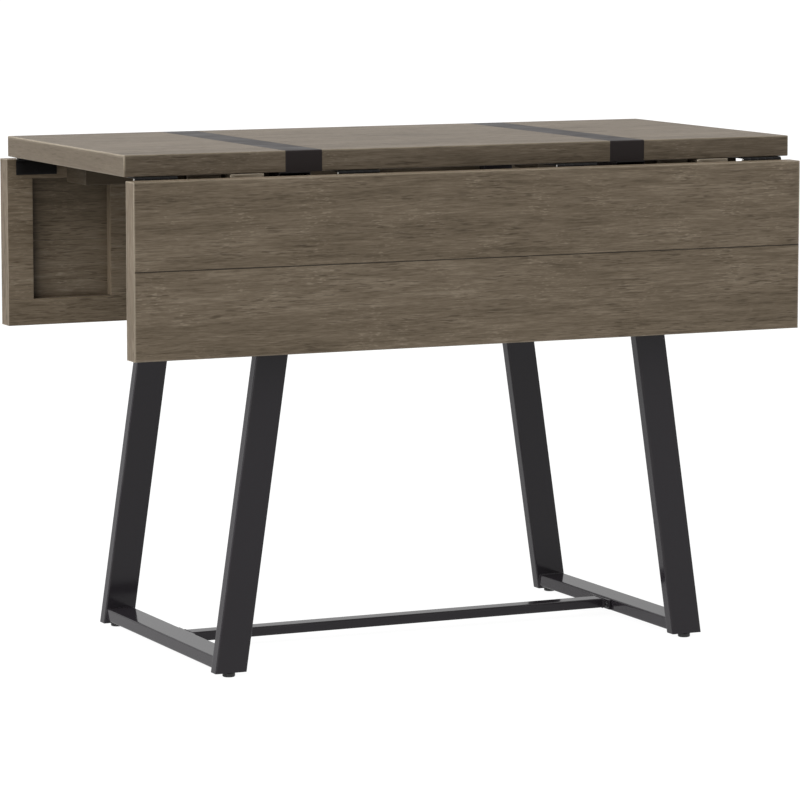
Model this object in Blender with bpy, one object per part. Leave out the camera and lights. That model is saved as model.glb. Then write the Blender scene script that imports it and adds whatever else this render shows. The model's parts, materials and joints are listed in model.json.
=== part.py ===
"""Drop-leaf dining table: a wooden top with two hinged leaves, pull-out supports and two steel leg frames.

Metres, +Z up. The origin is on the floor under the middle of the top, +X runs along the top
and the front is at -Y. The leaves hang down and the supports are pushed in.
"""

import math

import bmesh
import bpy
from mathutils import Matrix, Vector

# Fits shared by all pieces
FIT_GAP = 0.0003
EASED_EDGE = 0.0008
FACE_STEP = 0.0001
ROUND_SEGMENTS = 16

# Wooden top
TABLE_HEIGHT = 0.762
TOP_LENGTH = 1.078
TOP_DEPTH = 0.487
BOARD_THICKNESS = 0.031

# Steel straps let into the top, measured from the top's ends
STRAP_FROM_END = 0.2764
STRAP_WIDTH = 0.057
STRAP_THICKNESS = 0.002

# Hinge line: its pins lie below the top's underside, in the middle of the raised joint
HINGE_DROP = 0.004
RAISED_JOINT = 0.002

# Drop leaves: two long boards on a frame of rails and stiles
LEAF_DROP = 0.254
LEAF_END_INSET = 0.001
LEAF_BOARD_THICKNESS = 0.015
LEAF_TOP_RAIL = 0.030
LEAF_BOTTOM_RAIL = 0.040
LEAF_END_STILE = 0.040
LEAF_MID_STILE = 0.060
LEAF_MID_STILE_FROM_END = 0.166

# Butt hinges, the outer and the inner one of each half measured from the top's end
HINGE_LENGTH = 0.065
HINGE_REACH = 0.025
HINGE_PLATE = 0.002
HINGE_KNUCKLES = 5
KNUCKLE_RADIUS = 0.0036
KNUCKLE_CLEARANCE = 0.0004
PIN_RADIUS = 0.0015
PIN_CLEARANCE = 0.0003
HINGE_OUTER_FROM_END = 0.047
HINGE_INNER_FROM_END = 0.362

# Leg frames of flat steel tube
TUBE_WALL = 0.002
TUBE_CORNER = 0.002
LEG_FROM_END = 0.2686
LEG_SPREAD = 0.1057
LEG_WIDTH = 0.0495
LEG_DEPTH = 0.0195
LEG_EDGE_INSET = 0.0082
LEG_PLUG = 0.012
TOP_RAIL_HEIGHT = 0.020
RAIL_SIDE_INSET = 0.00325
RAIL_HEIGHT = 0.0185
RAIL_LIFT = 0.0041

# Stretcher between the leg frames, with a bolted flange at each end
STRETCHER_WIDTH = 0.0274
STRETCHER_HEIGHT = 0.0146
STRETCHER_DROP = 0.002
FLANGE_THICKNESS = 0.004
FLANGE_MARGIN = 0.0004
FLANGE_PAST_BOLT = 0.0058
BOLT_SPACING = 0.0544
BOLT_RADIUS = 0.003
BOLT_LENGTH = 0.012
BOLT_HEAD_RADIUS = 0.0045
BOLT_CROWN_RADIUS = 0.003
BOLT_HEAD_HEIGHT = 0.003

# Levelling feet
FOOT_RADIUS = 0.0093
FOOT_HEIGHT = 0.0063
FOOT_EDGE = 0.001
FOOT_STEM_RADIUS = 0.004
FOOT_STEM_LENGTH = 0.026

# Pull-out supports, in side by side pairs, and the guides that carry them under the top
LOPER_WIDTH = 0.052
LOPER_HEIGHT = 0.020
LOPER_CLEARANCE = 0.0005
LOPER_TAIL_INSET = 0.020
GUIDE_DIVIDER = 0.005
GUIDE_WALL = 0.019
GUIDE_FLOOR = 0.0185
GUIDE_FLANGE_WIDTH = 0.0095
GUIDE_FLANGE_THICKNESS = 0.011
GUIDE_LENGTH = 0.082
GUIDE_TO_HINGE = 0.002
GUIDE_TO_RAIL = 0.010

# Places that follow from the sizes above
TOP_UNDERSIDE = TABLE_HEIGHT - BOARD_THICKNESS
TOP_END = TOP_LENGTH / 2
TOP_EDGE = TOP_DEPTH / 2
HINGE_OUT = RAISED_JOINT / 2
HINGE_Y = TOP_EDGE + HINGE_OUT
HINGE_Z = TOP_UNDERSIDE - HINGE_DROP
LEAF_INNER_FACE = HINGE_Y + HINGE_DROP
LEAF_TOP = HINGE_Z - (RAISED_JOINT - HINGE_OUT)
LEAF_END = TOP_END - LEAF_END_INSET
LEG_FACE = TOP_EDGE - LEG_EDGE_INSET
LEG_FOOT_END = FOOT_HEIGHT + FIT_GAP
LEG_HEAD_END = TOP_UNDERSIDE - TOP_RAIL_HEIGHT - 2 * FIT_GAP
LEG_LEAN = LEG_SPREAD / (TOP_UNDERSIDE - LEG_FOOT_END)
RAIL_WIDTH = LEG_WIDTH - 2 * RAIL_SIDE_INSET
RAIL_BOTTOM = LEG_FOOT_END + RAIL_LIFT
RAIL_TOP = RAIL_BOTTOM + RAIL_HEIGHT
GUIDE_HALF_WIDTH = GUIDE_DIVIDER / 2 + LOPER_WIDTH + 2 * LOPER_CLEARANCE + GUIDE_WALL
LOPER_STEP = LOPER_WIDTH / 2 + LOPER_CLEARANCE + GUIDE_DIVIDER / 2
LOPER_TOP = TOP_UNDERSIDE - LOPER_CLEARANCE
LOPER_BOTTOM = LOPER_TOP - LOPER_HEIGHT
GUIDE_OUTER_FACE = HINGE_Y - HINGE_REACH - GUIDE_TO_HINGE

SIDES = (("left", -1), ("right", 1))
FACES = (("front", -1), ("back", 1))


def leg_centre(height):
    """Distance of a leg's middle from the table's middle at a height: the legs lean outwards to the floor."""
    return TOP_END - LEG_FROM_END + LEG_LEAN * (TOP_UNDERSIDE - height)


def finish(name, colour, roughness, metallic):
    """A plain surface finish for one kind of piece."""
    material = bpy.data.materials.new(name)
    material.use_nodes = True
    shader = material.node_tree.nodes["Principled BSDF"]
    shader.inputs["Base Color"].default_value = (*colour, 1)
    shader.inputs["Roughness"].default_value = roughness
    shader.inputs["Metallic"].default_value = metallic
    return material


def solid(name, points, faces, material):
    """A closed body from its corner points and faces, with the faces turned outwards."""
    mesh = bpy.data.meshes.new(name)
    mesh.from_pydata([tuple(p) for p in points], [], faces)
    form = bmesh.new()
    form.from_mesh(mesh)
    bmesh.ops.recalc_face_normals(form, faces=form.faces)
    form.to_mesh(mesh)
    form.free()
    mesh.materials.append(material)
    body = bpy.data.objects.new(name, mesh)
    bpy.context.scene.collection.objects.link(body)
    return body


def raised(outline, axis, place):
    """Puts a flat outline at a place along an axis: its two values go to the other axes in X, Y, Z order."""
    points = []
    for first, second in outline:
        point = [first, second]
        point.insert("XYZ".index(axis), place)
        points.append(point)
    return points


def prism(name, outline, axis, low, high, material):
    """An outline carried straight along an axis from low to high."""
    count = len(outline)
    points = raised(outline, axis, low) + raised(outline, axis, high)
    sides = [(i, (i + 1) % count, count + (i + 1) % count, count + i) for i in range(count)]
    ends = [tuple(range(count)), tuple(range(count, 2 * count))]
    return solid(name, points, sides + ends, material)


def block(name, low, high, material):
    """A rectangular block between two opposite corners."""
    outline = [(low[1], low[2]), (high[1], low[2]), (high[1], high[2]), (low[1], high[2])]
    return prism(name, outline, "X", low[0], high[0], material)


def rectangle(low, high, corner=0.0):
    """A rectangle's outline, with a quarter circle of two chords at each corner where a radius is given."""
    if corner <= 0:
        return [(high[0], high[1]), (low[0], high[1]), (low[0], low[1]), (high[0], low[1])]
    points = []
    right, left = high[0] - corner, low[0] + corner
    upper, lower = high[1] - corner, low[1] + corner
    for quarter, centre in enumerate(((right, upper), (left, upper), (left, lower), (right, lower))):
        for step in range(3):
            angle = math.radians(90 * quarter + 45 * step)
            points.append((centre[0] + corner * math.cos(angle), centre[1] + corner * math.sin(angle)))
    return points


def circle(radius, centre=(0.0, 0.0)):
    """A round outline."""
    angles = [2 * math.pi * i / ROUND_SEGMENTS for i in range(ROUND_SEGMENTS)]
    return [(centre[0] + radius * math.cos(a), centre[1] + radius * math.sin(a)) for a in angles]


def tube(name, low, high, wall, axis, start, end, material):
    """A hollow rectangular tube along an axis, open at both ends."""
    outer = rectangle(low, high, TUBE_CORNER)
    inner = rectangle((low[0] + wall, low[1] + wall), (high[0] - wall, high[1] - wall), TUBE_CORNER / 2)
    count = len(outer)
    points = []
    for outline in (outer, inner):
        for place in (start, end):
            points += raised(outline, axis, place)
    faces = []
    for i in range(count):
        j = (i + 1) % count
        outer_start, outer_end, inner_start, inner_end = (k * count for k in range(4))
        faces.append((outer_start + i, outer_start + j, outer_end + j, outer_end + i))
        faces.append((inner_start + i, inner_start + j, inner_end + j, inner_end + i))
        faces.append((outer_start + i, outer_start + j, inner_start + j, inner_start + i))
        faces.append((outer_end + i, outer_end + j, inner_end + j, inner_end + i))
    return solid(name, points, faces, material)


def turned(name, profile, axis, centre, material):
    """A round piece: radius and place pairs carried round an axis, closed by a flat disc at both ends."""
    points = []
    for radius, place in profile:
        points += raised(circle(radius, centre), axis, place)
    count = ROUND_SEGMENTS
    faces = [tuple(range(count)), tuple(range((len(profile) - 1) * count, len(profile) * count))]
    for ring in range(len(profile) - 1):
        for i in range(count):
            j = (i + 1) % count
            faces.append((ring * count + i, ring * count + j, (ring + 1) * count + j, (ring + 1) * count + i))
    body = solid(name, points, faces, material)
    body.data.shade_smooth()
    body.data.set_sharp_from_angle(angle=math.radians(40))
    return body


def combine(body, tool, operation):
    """Adds or cuts away a helper shape, which is no piece of the table itself."""
    tool.hide_render = True
    tool.display_type = "WIRE"
    change = body.modifiers.new(tool.name, "BOOLEAN")
    change.operation = operation
    change.solver = "EXACT"
    change.object = tool


def ease(body):
    """Takes the sharp edges off a wooden piece."""
    edge = body.modifiers.new("eased_edge", "BEVEL")
    edge.width = EASED_EDGE
    edge.segments = 1
    edge.limit_method = "ANGLE"


def pivot(name, place):
    """An empty on a joint's axis, for the pieces that move together on it."""
    empty = bpy.data.objects.new(name, None)
    empty.location = place
    bpy.context.scene.collection.objects.link(empty)
    return empty


def hang(body, empty):
    """Makes a piece a child of its joint's empty, without moving it."""
    body.data.transform(Matrix.Translation(-empty.location))
    body.parent = empty


def centre_origin(body, place):
    """Moves a sliding piece's origin onto its joint's axis, without moving the piece."""
    body.data.transform(Matrix.Translation(-Vector(place)))
    body.location = place


def build_top(wood, steel):
    """The top board with two channels cut across it, and the U-shaped straps that lie flush in them."""
    low = (-TOP_END, -TOP_EDGE, TOP_UNDERSIDE)
    high = (TOP_END, TOP_EDGE, TABLE_HEIGHT)
    top = block("top_slab", low, high, wood)
    ease(top)
    forms = (("strap", 0.0, 0.0, steel), ("strap_channel", FIT_GAP, 2 * STRAP_THICKNESS, wood))
    for side, sign in SIDES:
        middle = sign * (TOP_END - STRAP_FROM_END)
        for name, fit, reach, material in forms:
            outer_y = TOP_EDGE + reach
            outer_z = TABLE_HEIGHT + reach
            inner_y = TOP_EDGE - STRAP_THICKNESS - fit
            inner_z = TABLE_HEIGHT - STRAP_THICKNESS - fit
            foot_z = TOP_UNDERSIDE - reach
            outline = [(-outer_y, foot_z), (-outer_y, outer_z), (outer_y, outer_z), (outer_y, foot_z),
                       (inner_y, foot_z), (inner_y, inner_z), (-inner_y, inner_z), (-inner_y, foot_z)]
            half = STRAP_WIDTH / 2 + fit
            piece = prism(f"{name}_{side}", outline, "X", middle - half, middle + half, material)
            if reach:
                combine(top, piece, "DIFFERENCE")


def build_leaf(face, out, empty, wood):
    """One drop leaf: two long boards outside, backed by a frame with two middle stiles."""
    board_in = LEAF_INNER_FACE + BOARD_THICKNESS - LEAF_BOARD_THICKNESS
    frame_out = board_in - FIT_GAP
    bottom = LEAF_TOP - LEAF_DROP
    joint = LEAF_TOP - LEAF_DROP / 2
    half_gap = FIT_GAP / 2
    stile_low = bottom + LEAF_BOTTOM_RAIL + FIT_GAP
    stile_high = LEAF_TOP - LEAF_TOP_RAIL - FIT_GAP
    length = (-LEAF_END, LEAF_END)
    boards = (board_in, LEAF_INNER_FACE + BOARD_THICKNESS)
    frame = (LEAF_INNER_FACE, frame_out)
    pieces = {
        "upper_board": (length, boards, (joint + half_gap, LEAF_TOP)),
        "lower_board": (length, boards, (bottom, joint - half_gap)),
        "top_rail": (length, frame, (LEAF_TOP - LEAF_TOP_RAIL, LEAF_TOP)),
        "bottom_rail": (length, frame, (bottom, bottom + LEAF_BOTTOM_RAIL)),
    }
    mid = LEAF_END - LEAF_MID_STILE_FROM_END
    stiles = (("end_stile", LEAF_END_STILE, LEAF_END), ("mid_stile", LEAF_MID_STILE, mid))
    for side, sign in SIDES:
        for kind, width, edge in stiles:
            span = sorted((sign * edge, sign * (edge - width)))
            pieces[f"{kind}_{side}"] = (span, frame, (stile_low, stile_high))
    for name, (x, y, z) in pieces.items():
        across = sorted(out * value for value in y)
        piece = block(f"{face}_leaf_{name}", (x[0], across[0], z[0]), (x[1], across[1], z[1]), wood)
        ease(piece)
        hang(piece, empty)


def hinge_halves(steel):
    """Meshes of one hinge's halves, round a pin along X: the fixed plate lies level, the moving one hangs."""
    half = HINGE_LENGTH / 2
    step = HINGE_LENGTH / HINGE_KNUCKLES
    plate_top = HINGE_DROP - FIT_GAP
    plate_low = plate_top - HINGE_PLATE
    edge = KNUCKLE_RADIUS + KNUCKLE_CLEARANCE
    web_top = KNUCKLE_RADIUS - FACE_STEP
    web_low = plate_low + FACE_STEP
    web_end = edge + HINGE_PLATE
    level_plate = rectangle((edge, plate_low), (HINGE_REACH, plate_top))
    level_web = rectangle((0, web_low), (web_end, web_top))
    hanging_plate = rectangle((-plate_top, -HINGE_REACH), (-plate_low, -edge))
    hanging_web = rectangle((-web_top, -web_end), (-web_low, 0))
    halves = {"fixed": (level_plate, level_web), "moving": (hanging_plate, hanging_web)}
    meshes = {}
    for number, (kind, (plate, web)) in enumerate(halves.items()):
        body = prism(f"hinge_{kind}", plate, "X", -half, half, steel)
        tools = []
        for knuckle in range(number, HINGE_KNUCKLES, 2):
            start = -half + knuckle * step + (FIT_GAP / 2 if knuckle else 0)
            end = -half + (knuckle + 1) * step - (FIT_GAP / 2 if knuckle < HINGE_KNUCKLES - 1 else 0)
            tools.append((prism("web", web, "X", start + FACE_STEP, end - FACE_STEP, steel), "UNION"))
            tools.append((prism("knuckle", circle(KNUCKLE_RADIUS), "X", start, end, steel), "UNION"))
        if kind == "fixed":
            reach = half - FIT_GAP
            tools.append((prism("pin", circle(PIN_RADIUS), "X", -reach, reach, steel), "UNION"))
        else:
            bore = circle(PIN_RADIUS + PIN_CLEARANCE)
            tools.append((prism("pin_bore", bore, "X", -HINGE_LENGTH, HINGE_LENGTH, steel), "DIFFERENCE"))
        for tool, operation in tools:
            combine(body, tool, operation)
        view = bpy.context.evaluated_depsgraph_get()
        meshes[kind] = bpy.data.meshes.new_from_object(body.evaluated_get(view))
        for helper in [body] + [tool for tool, operation in tools]:
            bpy.data.objects.remove(helper)
    return meshes


def build_hinges(face, out, empty, meshes):
    """Four butt hinges along one leaf's joint; the back ones are the front ones turned half round."""
    inner = TOP_END - HINGE_INNER_FROM_END
    outer = TOP_END - HINGE_OUTER_FROM_END
    for number, place in enumerate((-outer, -inner, inner, outer), start=1):
        for kind, mesh in meshes.items():
            half = bpy.data.objects.new(f"{face}_hinge_{kind}_{number}", mesh)
            bpy.context.scene.collection.objects.link(half)
            half.rotation_euler = (0, 0, 0 if out < 0 else math.pi)
            if kind == "moving":
                half.parent = empty
                half.location = (place, 0, 0)
            else:
                half.location = (place, out * HINGE_Y, HINGE_Z)


def build_lopers(wood):
    """Pairs of pull-out supports, one for the front leaf and one for the back, with their guides.

    A guide is a block with two channels and a screw flange along its outer side.
    """
    pair = TOP_END - LEG_FROM_END + LEG_WIDTH / 2 + GUIDE_TO_RAIL + GUIDE_HALF_WIDTH
    nose = TOP_EDGE
    tail = TOP_EDGE - LOPER_TAIL_INSET
    channel = LOPER_STEP + LOPER_WIDTH / 2 + LOPER_CLEARANCE
    rim = TOP_UNDERSIDE - FIT_GAP
    bed = LOPER_BOTTOM - FIT_GAP
    under = bed - GUIDE_FLOOR
    half_divider = GUIDE_DIVIDER / 2
    flange_edge = GUIDE_HALF_WIDTH + GUIDE_FLANGE_WIDTH
    flange_under = rim - GUIDE_FLANGE_THICKNESS
    channel_line = [(channel, rim), (channel, bed), (half_divider, bed), (half_divider, rim)]
    plain_half = [(GUIDE_HALF_WIDTH, under), (GUIDE_HALF_WIDTH, rim), *channel_line]
    inner_half = [(-x, z) for x, z in reversed(plain_half)]
    flange_line = [(GUIDE_HALF_WIDTH, flange_under), (flange_edge, flange_under), (flange_edge, rim)]
    section = [(GUIDE_HALF_WIDTH, under), *flange_line, *channel_line, *inner_half]
    for side, sign in SIDES:
        middle = sign * pair
        outline = [(middle + sign * x, z) for x, z in section]
        for face, out in FACES:
            span = sorted((out * GUIDE_OUTER_FACE, out * (GUIDE_OUTER_FACE - GUIDE_LENGTH)))
            prism(f"loper_guide_{face}_{side}", outline, "Y", span[0], span[1], wood)
            place = middle - out * LOPER_STEP
            ends = sorted((out * nose, -out * tail))
            low = (place - LOPER_WIDTH / 2, ends[0], LOPER_BOTTOM)
            high = (place + LOPER_WIDTH / 2, ends[1], LOPER_TOP)
            loper = block(f"loper_{face}_{side}", low, high, wood)
            ease(loper)
            centre_origin(loper, (place, (ends[0] + ends[1]) / 2, (LOPER_TOP + LOPER_BOTTOM) / 2))


def leaning_bar(name, inset, corner, low_end, high_end, sign, middle_y, steel):
    """A bar on a leg's leaning centre line between two heights, cut level at both ends."""
    half_width = LEG_WIDTH / 2 - inset
    half_depth = LEG_DEPTH / 2 - inset
    points = []
    for height in (low_end, high_end):
        middle = sign * leg_centre(height)
        low = (middle - half_width, middle_y - half_depth)
        high = (middle + half_width, middle_y + half_depth)
        points += raised(rectangle(low, high, corner), "Z", height)
    count = len(points) // 2
    faces = [(i, (i + 1) % count, count + (i + 1) % count, count + i) for i in range(count)]
    faces += [tuple(range(count)), tuple(range(count, 2 * count))]
    return solid(name, points, faces, steel)


def build_leg(face, out, side, sign, steel):
    """A leaning leg of flat tube, open at its head, with a plug in its foot that takes the levelling stem."""
    middle_y = out * (LEG_FACE - LEG_DEPTH / 2)
    leg = leaning_bar(f"leg_{face}_{side}", 0, TUBE_CORNER, LEG_FOOT_END, LEG_HEAD_END, sign, middle_y, steel)
    plug_top = LEG_FOOT_END + LEG_PLUG
    past_head = LEG_HEAD_END + TUBE_WALL
    hollow_name = f"leg_hollow_{face}_{side}"
    hollow = leaning_bar(hollow_name, TUBE_WALL, TUBE_CORNER / 2, plug_top, past_head, sign, middle_y, steel)
    combine(leg, hollow, "DIFFERENCE")
    foot_x = sign * leg_centre(LEG_FOOT_END)
    bore = circle(FOOT_STEM_RADIUS + FIT_GAP, (foot_x, middle_y))
    bore_end = plug_top + TUBE_WALL
    combine(leg, prism(f"stem_bore_{face}_{side}", bore, "Z", 0, bore_end, steel), "DIFFERENCE")


def build_foot(face, out, side, sign, plastic):
    """A levelling foot: a round pad with a stem that screws into the leg's plug."""
    place = (sign * leg_centre(LEG_FOOT_END), out * (LEG_FACE - LEG_DEPTH / 2))
    stem_top = FOOT_HEIGHT + FOOT_STEM_LENGTH
    profile = [(FOOT_RADIUS - FOOT_EDGE, 0), (FOOT_RADIUS, FOOT_EDGE), (FOOT_RADIUS, FOOT_HEIGHT),
               (FOOT_STEM_RADIUS, FOOT_HEIGHT), (FOOT_STEM_RADIUS, stem_top)]
    foot = turned(f"foot_{face}_{side}", profile, "Z", place, plastic)
    centre_origin(foot, (*place, 0))


def build_rails(side, sign, steel):
    """The level tubes at a leg frame's head and near the floor, the lower one bored for bolts."""
    head = sign * leg_centre(TOP_UNDERSIDE - TOP_RAIL_HEIGHT)
    low = (head - LEG_WIDTH / 2, TOP_UNDERSIDE - FIT_GAP - TOP_RAIL_HEIGHT)
    high = (head + LEG_WIDTH / 2, TOP_UNDERSIDE - FIT_GAP)
    tube(f"top_rail_{side}", low, high, TUBE_WALL, "Y", -LEG_FACE, LEG_FACE, steel)
    middle = sign * leg_centre((RAIL_BOTTOM + RAIL_TOP) / 2)
    low = (middle - RAIL_WIDTH / 2, RAIL_BOTTOM)
    high = (middle + RAIL_WIDTH / 2, RAIL_TOP)
    reach = LEG_FACE - LEG_DEPTH - FIT_GAP
    rail = tube(f"bottom_rail_{side}", low, high, TUBE_WALL, "Y", -reach, reach, steel)
    inner = abs(middle) - RAIL_WIDTH / 2
    for face, out in FACES:
        hole = circle(BOLT_RADIUS + FIT_GAP, (out * BOLT_SPACING / 2, (RAIL_BOTTOM + RAIL_TOP) / 2))
        ends = sorted((sign * (inner - TUBE_WALL), sign * (inner + 2 * TUBE_WALL)))
        combine(rail, prism(f"rail_hole_{face}_{side}", hole, "X", ends[0], ends[1], steel), "DIFFERENCE")


def build_stretcher(steel):
    """The long tube between the leg frames, with a flange welded round each end and two bolts in each."""
    seat = leg_centre((RAIL_BOTTOM + RAIL_TOP) / 2) - RAIL_WIDTH / 2 - FIT_GAP
    bolt_z = (RAIL_BOTTOM + RAIL_TOP) / 2
    top = RAIL_TOP - STRETCHER_DROP
    low = (-STRETCHER_WIDTH / 2, top - STRETCHER_HEIGHT)
    high = (STRETCHER_WIDTH / 2, top)
    bar_end = seat - FLANGE_THICKNESS / 2
    bar = prism("stretcher", rectangle(low, high, TUBE_CORNER), "X", -bar_end, bar_end, steel)
    half_flange = BOLT_SPACING / 2 + FLANGE_PAST_BOLT
    flange_low = (-half_flange, low[1] - FLANGE_MARGIN)
    flange_high = (half_flange, high[1] + FLANGE_MARGIN)
    plate = rectangle(flange_low, flange_high, TUBE_CORNER)
    for side, sign in SIDES:
        ends = sorted((sign * seat, sign * (seat - FLANGE_THICKNESS)))
        combine(bar, prism(f"flange_{side}", plate, "X", ends[0], ends[1], steel), "UNION")
    bore_low = (low[0] + TUBE_WALL, low[1] + TUBE_WALL)
    bore_high = (high[0] - TUBE_WALL, high[1] - TUBE_WALL)
    bore = rectangle(bore_low, bore_high, TUBE_CORNER / 2)
    combine(bar, prism("stretcher_bore", bore, "X", -TOP_END, TOP_END, steel), "DIFFERENCE")
    for side, sign in SIDES:
        for face, out in FACES:
            place = (out * BOLT_SPACING / 2, bolt_z)
            hole = circle(BOLT_RADIUS + FIT_GAP, place)
            ends = sorted((sign * (seat - 2 * FLANGE_THICKNESS), sign * (seat + FLANGE_THICKNESS)))
            cut = prism(f"flange_hole_{face}_{side}", hole, "X", ends[0], ends[1], steel)
            combine(bar, cut, "DIFFERENCE")
            under_head = seat - FLANGE_THICKNESS - FIT_GAP
            rim = under_head - BOLT_HEAD_HEIGHT / 2
            crown = under_head - BOLT_HEAD_HEIGHT
            tip = under_head + BOLT_LENGTH
            profile = [(BOLT_CROWN_RADIUS, crown), (BOLT_HEAD_RADIUS, rim), (BOLT_HEAD_RADIUS, under_head),
                       (BOLT_RADIUS, under_head), (BOLT_RADIUS, tip)]
            profile = [(radius, sign * reach) for radius, reach in profile]
            turned(f"stretcher_bolt_{face}_{side}", profile, "X", place, steel)


for old in list(bpy.data.objects):
    bpy.data.objects.remove(old)

top_wood = finish("grey_brown_wood", (0.155, 0.125, 0.088), 0.55, 0.0)
strap_steel = finish("blackened_strap", (0.035, 0.034, 0.036), 0.45, 0.6)
frame_steel = finish("charcoal_powder_coat", (0.040, 0.038, 0.040), 0.50, 0.3)
hinge_steel = finish("black_hinge_steel", (0.018, 0.017, 0.018), 0.40, 0.7)
foot_plastic = finish("black_foot_plastic", (0.020, 0.020, 0.020), 0.60, 0.0)

build_top(top_wood, strap_steel)
hinge_meshes = hinge_halves(hinge_steel)
for face_name, direction in FACES:
    hinge_line = pivot(f"{face_name}_hinge_line", (0, direction * HINGE_Y, HINGE_Z))
    build_leaf(face_name, direction, hinge_line, top_wood)
    build_hinges(face_name, direction, hinge_line, hinge_meshes)
build_lopers(top_wood)
for side_name, direction_x in SIDES:
    build_rails(side_name, direction_x, frame_steel)
    for face_name, direction in FACES:
        build_leg(face_name, direction, side_name, direction_x, frame_steel)
        build_foot(face_name, direction, side_name, direction_x, foot_plastic)
build_stretcher(frame_steel)
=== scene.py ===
"""Looks of the drop-leaf dining table, in metres, with +Z up, +X along the top and the front at -Y."""
import json
import math

import bmesh
import bpy
import numpy as np
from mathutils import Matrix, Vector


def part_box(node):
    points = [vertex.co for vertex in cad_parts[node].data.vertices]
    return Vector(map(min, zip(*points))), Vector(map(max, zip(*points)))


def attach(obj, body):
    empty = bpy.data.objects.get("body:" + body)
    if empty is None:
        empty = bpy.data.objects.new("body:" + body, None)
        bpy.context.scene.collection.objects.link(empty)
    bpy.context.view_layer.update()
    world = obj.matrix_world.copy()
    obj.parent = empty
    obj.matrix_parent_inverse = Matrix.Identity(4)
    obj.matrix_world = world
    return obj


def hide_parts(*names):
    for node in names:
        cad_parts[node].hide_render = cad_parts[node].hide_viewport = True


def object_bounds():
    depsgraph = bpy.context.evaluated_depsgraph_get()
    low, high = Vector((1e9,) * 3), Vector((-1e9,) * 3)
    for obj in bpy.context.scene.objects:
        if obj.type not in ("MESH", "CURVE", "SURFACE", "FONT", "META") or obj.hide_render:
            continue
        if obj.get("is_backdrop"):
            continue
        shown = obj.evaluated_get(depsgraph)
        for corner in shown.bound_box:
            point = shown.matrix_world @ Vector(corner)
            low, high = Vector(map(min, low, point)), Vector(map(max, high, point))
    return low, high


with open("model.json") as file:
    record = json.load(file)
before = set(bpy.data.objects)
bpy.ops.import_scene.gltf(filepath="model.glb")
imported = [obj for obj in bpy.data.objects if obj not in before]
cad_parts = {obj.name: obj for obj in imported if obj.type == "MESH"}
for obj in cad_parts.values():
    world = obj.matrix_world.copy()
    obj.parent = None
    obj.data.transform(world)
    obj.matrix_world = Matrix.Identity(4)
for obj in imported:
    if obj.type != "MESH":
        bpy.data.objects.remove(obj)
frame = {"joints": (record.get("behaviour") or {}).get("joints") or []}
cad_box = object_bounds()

# Viewpoint
# The table is seen from its left front, from a little above the top and several metres away,
# through a long lens that hardly tapers it.
camera_place = (-2.6252, -5.6497, 1.1487)
camera_turn_degrees = -24.946
camera_tilt_degrees = 7.231
camera_lens_mm = 185.0
camera_sight = 300.0
lens = bpy.data.cameras.new("viewpoint")
lens.lens = camera_lens_mm
lens.clip_end = camera_sight
camera = bpy.data.objects.new("viewpoint", lens)
camera.location = camera_place
camera.rotation_euler = (math.radians(90 - camera_tilt_degrees), 0, math.radians(camera_turn_degrees))
bpy.context.scene.collection.objects.link(camera)
bpy.context.scene.camera = camera
bpy.context.scene.view_settings.view_transform = "Standard"

# Studio floor
# A wide frosted light table that runs out of sight in all directions. It glows evenly from below, so shadows
# on it stay faint. The camera sees it white, brighter than the light that it throws on the furniture.
floor_radius = 120.0
floor_first_ring = 0.02
floor_rings = 24
floor_spokes = 48
floor_thickness = 0.05
floor_glow = 0.70
floor_white = 0.96
frost_cells = 1.5
frost_dark = (0.07, 0.07, 0.07)
frost_pale = (0.09, 0.09, 0.09)
crease_degrees = 35


def put(tree, kind, sockets=None, **settings):
    """Adds a node with its settings, and gives each socket a value or links it to another node's output."""
    made = tree.nodes.new("ShaderNode" + kind)
    for name, value in settings.items():
        setattr(made, name, value)
    for name, value in (sockets or {}).items():
        if isinstance(value, bpy.types.NodeSocket):
            tree.links.new(value, made.inputs[name])
        else:
            made.inputs[name].default_value = value
    return made


def ramp(tree, factor, *stops):
    """Colours by a value: each stop is the value and the colour that it stands for."""
    made = put(tree, "ValToRGB", {"Fac": factor})
    elements = made.color_ramp.elements
    while len(elements) < len(stops):
        elements.new(0.5)
    for element, (value, colour) in zip(elements, stops):
        element.position = value
        element.color = (*colour, 1)
    return made.outputs["Color"]


def new_finish(name, **plain):
    """A material with one Principled shader, whose constant values are set on its own sockets."""
    material = bpy.data.materials.new(name)
    material.use_nodes = True
    tree = material.node_tree
    shader = tree.nodes["Principled BSDF"]
    for socket, value in plain.items():
        shader.inputs[socket.replace("_", " ")].default_value = value
    return material, tree, shader


def place_mesh(name, points, faces, marks=None):
    """An object at the origin from points and faces, turned outwards, smooth but for its sharp edges."""
    mesh = bpy.data.meshes.new(name)
    mesh.from_pydata(points.tolist(), [], faces)
    form = bmesh.new()
    form.from_mesh(mesh)
    bmesh.ops.recalc_face_normals(form, faces=form.faces)
    form.to_mesh(mesh)
    form.free()
    mesh.shade_smooth()
    mesh.set_sharp_from_angle(angle=math.radians(crease_degrees))
    for mark, values in (marks or {}).items():
        layer = mesh.attributes.new(mark, "FLOAT", "POINT")
        layer.data.foreach_set("value", np.ravel(values).astype(np.float32))
    piece = bpy.data.objects.new(name, mesh)
    bpy.context.scene.collection.objects.link(piece)
    return piece


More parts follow.
